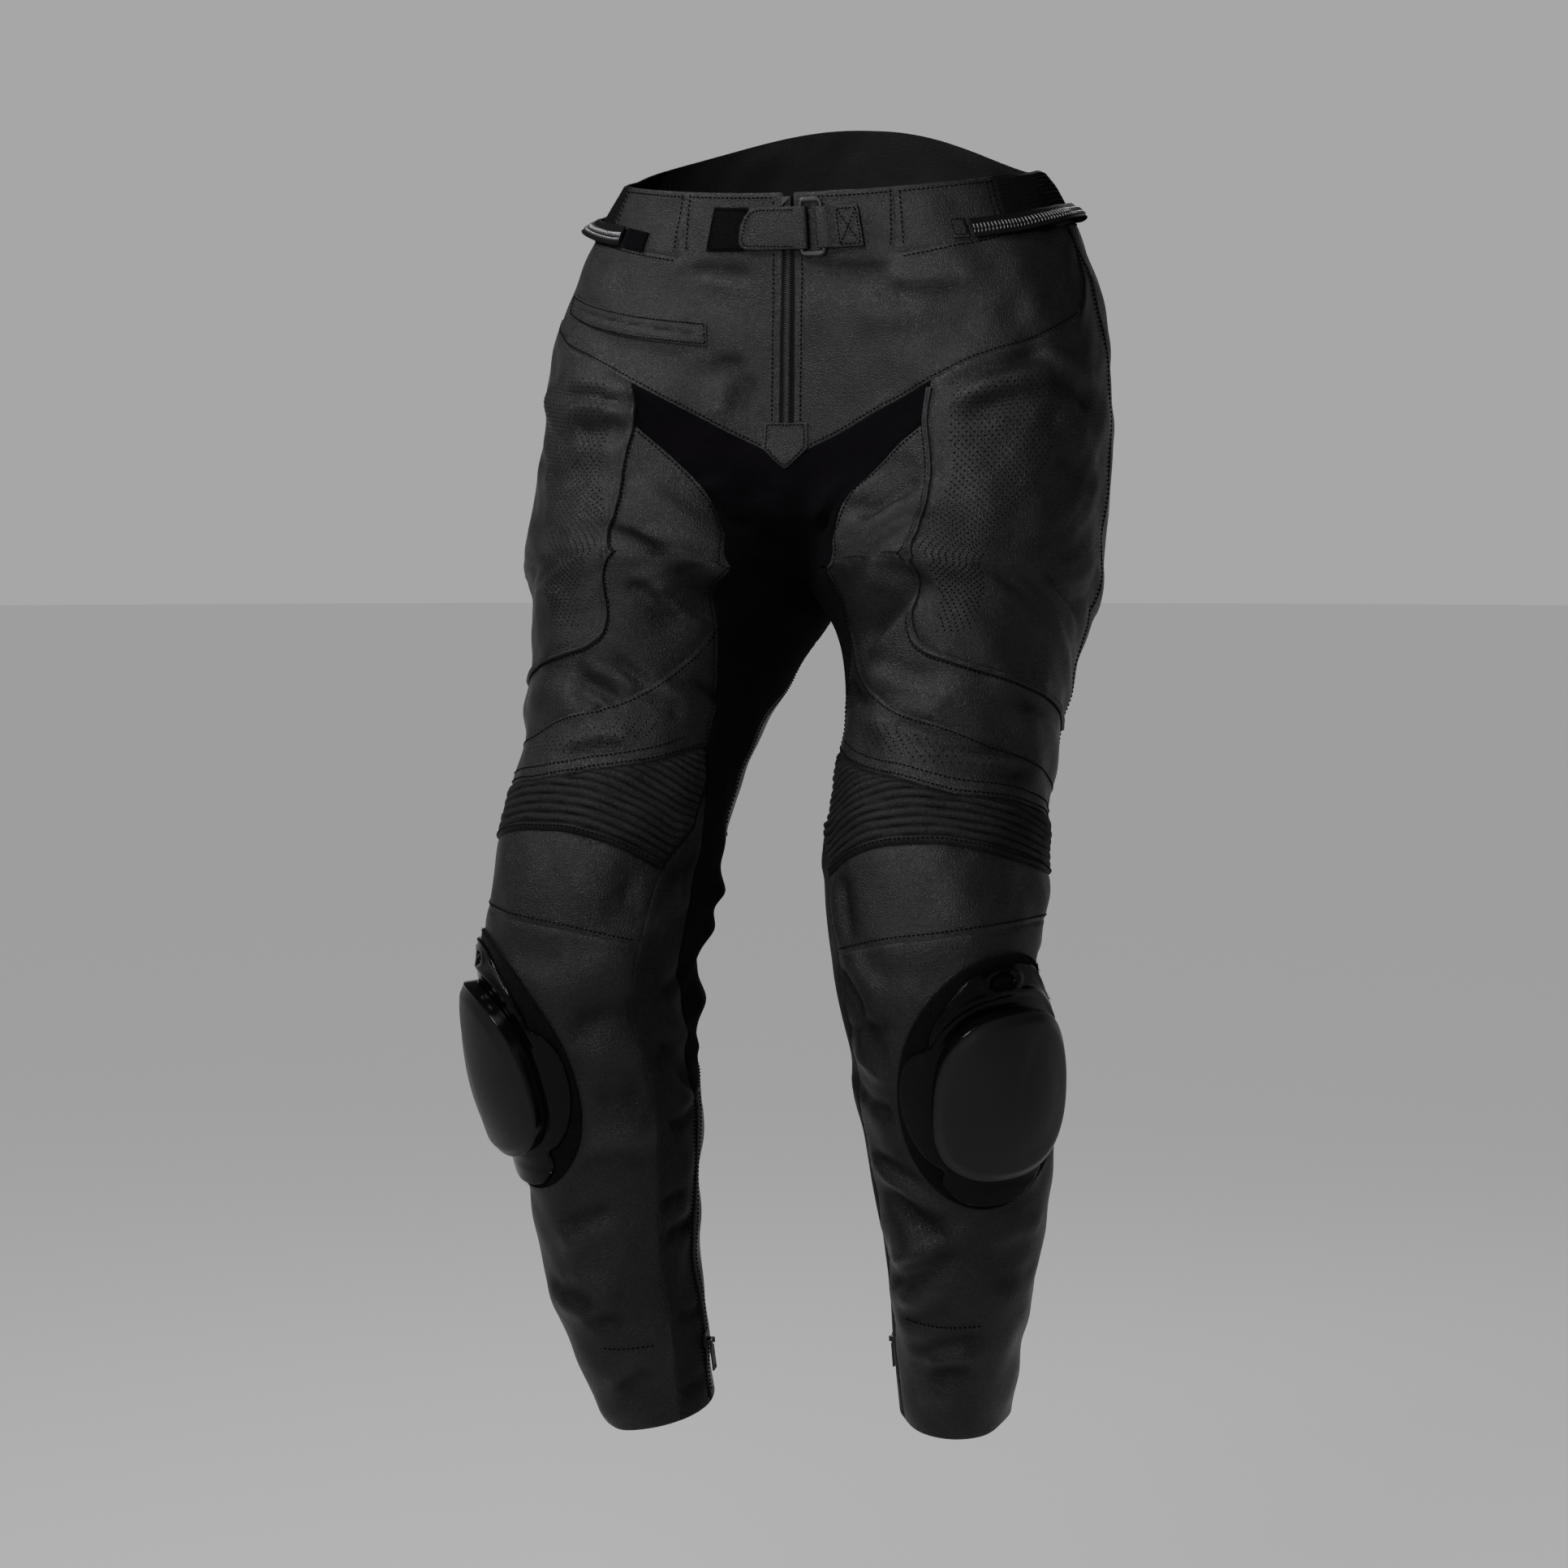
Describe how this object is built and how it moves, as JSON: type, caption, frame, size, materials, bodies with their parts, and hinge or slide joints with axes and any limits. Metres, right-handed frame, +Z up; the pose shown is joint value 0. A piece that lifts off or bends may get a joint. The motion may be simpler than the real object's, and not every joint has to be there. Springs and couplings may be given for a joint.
{
  "type": "leather motorcycle trousers",
  "caption": "Black leather motorcycle trousers, filled out as worn, with stretch panels, accordion knees, knee sliders and ankle zips.",
  "frame": {"origin": "centre of the waist opening, at the height of the band's side edges", "axes": "+X towards the wearer's left, -Y to the front, +Z up"},
  "size_m": [0.494, 0.3724, 1.0547],
  "materials": {
    "leather": "pebbled, soft sheen",
    "leather_soft": "soft, creased",
    "stretch_textile": "matt",
    "stretch_web": "textured, matt",
    "loop_pile": "loop pile",
    "zip_coil": "coil and tape",
    "gloss_plastic": "glossy",
    "satin_plastic": "satin",
    "dark_metal": "dark, satin"
  },
  "bodies": {
    "trousers": {"waist_side_left": "leather", "waist_side_right": "leather", "waist_elastic_left": "stretch_web", "waist_elastic_right": "stretch_web", "yoke_left": "leather", "yoke_right": "leather", "seat_left": "leather", "seat_right": "leather", "thigh_outer_left": "leather", "thigh_outer_right": "leather", "thigh_inner_left": "leather", "thigh_inner_right": "leather", "piping_left": "leather", "piping_right": "leather", "knee_band_left": "leather", "knee_band_right": "leather", "accordion_left": "leather_soft", "accordion_right": "leather_soft", "knee_left": "leather", "knee_right": "leather", "shin_left": "leather", "shin_right": "leather", "calf_strip_left": "leather_soft", "calf_strip_right": "leather_soft", "calf_left": "leather", "calf_right": "leather", "knee_pile_left": "loop_pile", "knee_pile_right": "loop_pile", "slider_base_left": "gloss_plastic", "slider_base_right": "gloss_plastic", "slider_puck_left": "satin_plastic", "slider_puck_right": "satin_plastic", "ankle_zip_left": "zip_coil", "ankle_zip_right": "zip_coil", "ankle_slider_left": "dark_metal", "ankle_slider_right": "dark_metal", "waistband_back": "leather", "fly_zip": "zip_coil", "fly_slider": "dark_metal", "fly_tab": "leather", "strap_pad": "loop_pile", "waist_strap": "leather", "strap_loop": "dark_metal", "strap_anchor": "leather", "pocket_welt": "leather", "connector_zip": "zip_coil", "connector_stop": "leather", "connector_tongue": "stretch_textile", "gusset": "stretch_textile"},
    "tab_left": {"pull_tab_left": "dark_metal"},
    "tab_right": {"pull_tab_right": "dark_metal"}
  },
  "joints": [
    {"name": "pull_tab_left_swing", "type": "hinge", "parent": "trousers", "child": "tab_left", "pos_m": [0.07815, -0.07159, -0.93617], "axis": [0.0533, 0.9651, 0.2564], "range_deg": [-6, 120]},
    {"name": "pull_tab_right_swing", "type": "hinge", "parent": "trousers", "child": "tab_right", "pos_m": [-0.07815, -0.07159, -0.95231], "axis": [0.0533, -0.9651, -0.2564], "range_deg": [-6, 120]}
  ]
}
